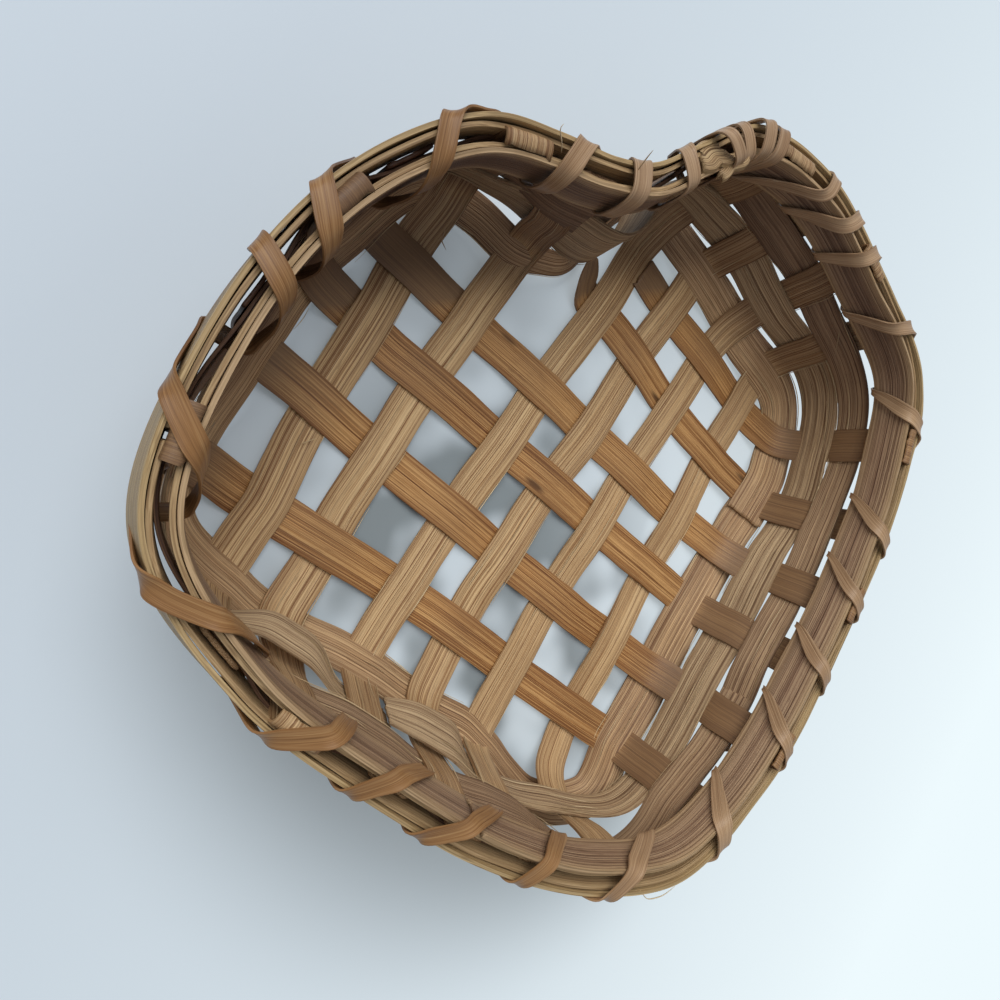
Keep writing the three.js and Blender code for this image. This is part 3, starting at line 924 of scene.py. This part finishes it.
# The core is a rough splint that lies deep in the rim, in and out between the ends of the stakes, and
# keeps the layers apart. A narrower one packs the gap outside the stakes. Both are dark wood, as
# painted shade for the depth of the rim.
core_shade_wood = wood_finish(
    "rim_core_shade_wood", [(60, 42, 34), (104, 76, 58), (150, 116, 86), (90, 64, 48)],
    gloss=0.65, raised=0.7, stain=0.4, shade_and_age_strength=0.5)
core_level, packing_level = band_bottom + 2.6, band_bottom + 1.8
core_width, core_offset, core_start, core_end = 4.6, 0.65, 2, -4.0
packing_width, packing_offset, packing_start = 3.4, -1.75, 10
packing_slack, packing_waver = 0.05, 0.3
core_seed, packing_seed = 36, 37


def past_stakes(order, lapped):
    """How far to the inside the core passes a stake, and its slack there."""
    return core_offset if order % 2 else -core_offset, 0.0


run = ring_run(lambda t: rim_spot(t, core_level), past_stakes, core_start, core_end, core_end)
piece = strip_piece("rim_core_splint", core_shade_wood, run, core_width, core_seed)
run = layer_run(
    packing_offset, packing_level, packing_start, packing_seed, packing_slack, packing_waver)
piece = strip_piece("rim_packing_splint", core_shade_wood, run, packing_width, packing_seed)

# Two frayed ends of filler splints stick out of the rim beside the right lobe. For each: the points of
# the outline from which and to which it runs, mm to the inside, mm below the top, width and thickness.
filler_ends = [(0.98, 1.36, 0.1, 0.5, 5.2, 1.5), (1.16, 1.62, 2.4, 0.2, 3.4, 1.3)]
end_bend = 0.5
end_steps = 8
for number, (first, last, offset, drop, width, thickness) in enumerate(filler_ends):
    run = []
    for step in range(end_steps + 1):
        spot = rim_spot(mixed(first, last, step / end_steps) / outline_points, band_top - drop)
        bent = end_bend * math.sin(step * 1.1 + number)
        run.append((spot.moved(offset + bent, 0.4 * bent), spot.inward + spot.upward * 0.5, 1.0))
    piece = strip_piece(
        f"rim_filler_end_{number + 1}", filler_wood, run, width, 38 + number, thickness, step=0.5,
        ease=1.8, ridges=0.5, waver=0.8, ragged=2.0)

# Lashing: one long narrow splint, smooth and slightly glossy. It comes in through the slot above the
# upper weaver, climbs the inside of the rim, goes over its top and down the outside to the next slot.
lash_width = 3.2
lash_thickness = 0.4
lash_offset = 3.35
lash_level = band_top + 0.6
# Each turn, in points of the outline: its slot, its bends over the inner and the outer edge of the
# rim, how many mm it stands loose above the rim, and its breadth.
lash_turns = [
    (0.5, 0.66, 0.78, 0, 1), (1.22, 1.42, 1.34, 1.7, 0.8), (1.5, 1.66, 1.7, 0.6, 0.8),
    (1.66, 1.88, 1.98, 1.5, 0.9), (1.8, 2.14, 2.22, 0.5, 0.8), (2.06, 3, 3.05, 0, 0.8),
    (2.88, 3.38, 3.48, 0, 0.9), (3.55, 3.74, 3.84, 0, 0.9), (4.18, 4.45, 4.6, 0, 0.9),
    (5.05, 5.3, 5.42, 0, 1), (6.1, 6.4, 6.5, 0, 0.9), (6.72, 7.04, 7.14, 0, 0.9),
    (7.44, 7.72, 7.82, 0, 0.9), (8.08, 8.44, 8.56, 0, 0.9), (9.02, 9.5, 9.6, 0, 1.1),
    (10.14, 10.7, 10.92, 0, 1.15), (11.3, 11.64, 11.78, 0, 1), (12, 12.38, 12.62, 0, 1),
    (12.6, 12.96, 13.16, 0, 0.95), (13.27, 13.46, 13.78, 0, 0.95), (14.02, 14.42, 14.8, 0, 0.95),
    (15.05, 15.36, 15.58, 0, 1), (15.92, 16.22, 16.34, 0, 1), (16.44, 16.6, 16.8, 0, 1.05),
    (17.2, 17.5, 17.74, 0, 0.95), (18.92, 19.06, 19.32, 0, 1.05), (20.4, 20.5, 20.62, 0, 1.05),
]
# How it comes through the slots, at points of the outline: the share of its width that shows where
# it twists in, how soon it swings along the rim, and how far it stands off the inner band, in mm.
slot_breadths = [(0, 0.7), (3.5, 0.6), (5, 0.36), (9, 0.36), (10, 0.85), (20, 0.8), (21, 0.7)]
slot_swings = [(0, 1), (14.2, 1), (15.5, 0.55), (19, 0.5), (20, 0.8), (21, 1)]
slot_bows = [(0, 0.2), (9, 0.1), (14, 0.4), (15.5, 1.3), (19, 1.3), (21, 0.3)]
# Shares of its way up the inside and down the outside at which its place is set.
climb = (0.1, 0.4, 0.7, 0.92)
descent = (0.08, 0.35, 0.7, 0.95)


def lash_run(turns):
    """The stations of the lashing over all its turns, in order."""
    stations = []

    def add(place, level, offset, breadth):
        spot = rim_spot(place / outline_points, level)
        stations.append((spot.moved(offset), spot.along, breadth))

    for k, (slot, inner, outer, loose, breadth) in enumerate(turns):
        following = turns[(k + 1) % len(turns)][0]
        if k + 1 == len(turns):
            following += outline_points
        shapes = (slot_breadths, slot_swings, slot_bows)
        slim, swing, bow = (along_ring(shape, slot / outline_points) for shape in shapes)
        # in through the slot
        add(slot, slot_level, -lash_offset + 0.5, slim * breadth)
        add(slot, slot_level, 0.0, slim * breadth)
        add(slot, slot_level + 0.1, lash_offset - 0.4, slim * breadth)
        # up the inside
        for part in climb:
            level = mixed(band_bottom, band_top - 0.1, part)
            off = lash_offset + bow * math.sin(math.pi * part)
            shown = breadth * mixed(slim, 1.0, min(1, 1.7 * part))
            add(mixed(slot, inner, part**swing), level, off, shown)
        # over the top
        top = lash_level + loose
        add(inner, top - 0.15, lash_offset - 0.35, breadth)
        add(mixed(inner, outer, 0.3), top + 0.2, 1.4, breadth)
        add(mixed(inner, outer, 0.7), top + 0.2 + 0.4 * loose, -1.2, breadth)
        add(outer, top - 0.15, -lash_offset + 0.35, breadth)
        # down the outside, towards the next slot
        for part in descent:
            level = mixed(band_top - 0.1, band_bottom, part)
            add(mixed(outer, following, 0.9 * part), level, -lash_offset, breadth)
    return stations


lash_wood = wood_finish(
    "lashing_wood", [(106, 68, 38), (160, 117, 72), (200, 160, 110), (142, 102, 64)],
    fibres=0.25, gloss=0.36, raised=0.2, fibre_highlight_share=0.1, shade_and_age_strength=0.7, dulled=0.55)
piece = strip_piece(
    "rim_lashing_splint", lash_wood, lash_run(lash_turns), lash_width, 41, lash_thickness, step=0.6,
    ease=2.2, cup=0.12, waver=0.45)
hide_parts("rim_lashing")

# Loose fibres: thin straws that have lifted off the faces and edges of the rougher splints, and a few
# longer hairs and splinters that stick out of the rim and the wall.
straw_lengths = (6, 26)  # mm
straw_breadths = (0.12, 0.24)
hair_breadth = 0.22
share_at_edges = 0.55
basket_middle = Vector((0, -10, 40))


def straws_piece(name, finish, lines, seed):
    """Thin straws in one mesh. Each line holds its points and the breadth of the straw."""
    spots, faces, grain, worn, aged = [], [], [], [], []
    for number, (points, breadth) in enumerate(lines):
        last = len(points) - 1
        base = len(spots)
        for i, point in enumerate(points):
            ahead = (points[min(i + 1, last)] - points[max(i - 1, 0)]).normalized()
            aside = ahead.cross(Vector((0.2, 0.1, 1))).normalized()
            above = aside.cross(ahead)
            half = breadth * (0.15 + 0.35 * math.sin(math.pi * i / last))
            for k in range(4):
                turn = math.pi * (k / 2 + 0.25)
                spots.append(point + aside * half * math.cos(turn) + above * half * math.sin(turn))
                grain.append((i * 0.5 + number * 9.0, k * 0.1 + number * 3.0, seed))
                worn.append(0.0)
                aged.append(shade_and_age_at(point))
        faces += wrapped(base, range(4), last)
        faces.append((base + 3, base + 2, base + 1, base))
        faces.append(tuple(base + 4 * last + k for k in range(4)))
    return wooden_piece(name, finish, spots, faces, grain, worn, aged)


def straws_on(run, count, seed):
    """Straws that lie along a strip on a random part of its face or an edge, and lift off a little."""
    pick = random.Random(seed)
    even, _ = laid_out(run, 1.0, 2.4)
    lines = []
    for _ in range(count):
        length = pick.randint(*straw_lengths)
        first = pick.randrange(len(even) - length)
        at_edge = pick.random() < share_at_edges
        side = pick.choice((-1, 1)) * (pick.uniform(0.94, 1.02) if at_edge else pick.uniform(0.0, 0.9))
        drift = pick.uniform(-0.1, 0.1)
        lift = pick.uniform(0.05, 0.4)
        loose_end = pick.choice((0.0, 0.0, 0.7))
        points = []
        for i in range(length):
            point, across, breadth = even[first + i]
            ahead = (even[first + i + 1][0] - point).normalized()
            face = ahead.cross(across).normalized()
            if face.dot(basket_middle - point) < 0:
                face = -face
            share = i / (length - 1)
            height = splint_thickness / 2 + lift * math.sin(math.pi * share)
            height += loose_end * (1 - share) ** 3
            aside = across * (side + drift * share) * weaver_width / 2 * breadth
            points.append(point + aside + face * height)
        lines.append((points, pick.uniform(*straw_breadths)))
    return lines


straw_wood = wood_finish(
    "straw_wood", [(150, 120, 84), (206, 176, 132), (236, 214, 172), (206, 176, 132)],
    gloss=0.45, raised=0.1, stain=0.1, shade_and_age_strength=0.7)
straws = []
for number, (run, count) in enumerate(rough_runs):
    straws += straws_on(run, count, 50 + number)
# Hairs and splinters, each by the points that it passes, in mm from the middle of the base.
hairs = [
    ((67.5, 20.4, 24), (68, 16.3, 23), (69.8, 9.1, 20)),
    ((75.7, -9, 22), (72.1, -13.3, 22), (70.6, -17.2, 19)),
    ((55.8, 25.8, 10), (57.8, 23.1, 9)), ((1.6, 45, 37.6), (0.8, 43.6, 36), (0.2, 42.4, 35)),
    ((-15.6, 47.6, 38), (-16.2, 47, 37.5), (-14.6, 45.6, 36), (-14, 44.6, 34.5)),
    ((-10.8, -81.3, 34), (-8.6, -85.1, 33), (-4.7, -86.2, 33), (-2.5, -84.6, 34)),
    ((-64.2, 11.1, 4), (-65, 10.2, 6), (-66.1, 10.1, 8)), ((-47.7, 5.9, 2), (-50.7, 5.2, 1.6)),
    ((-26.1, 37.6, 18), (-24.1, 36.9, 12), (-21.3, 36, 8)),
]
for hair in hairs:
    stations = [(Vector(point), Vector((0, 0, 1)), 1.0) for point in hair]
    eased, _ = laid_out(stations, 0.6, 1.8)
    straws.append(([point for point, _, _ in eased], hair_breadth))
piece = straws_piece("loose_fibres", straw_wood, straws, 60)
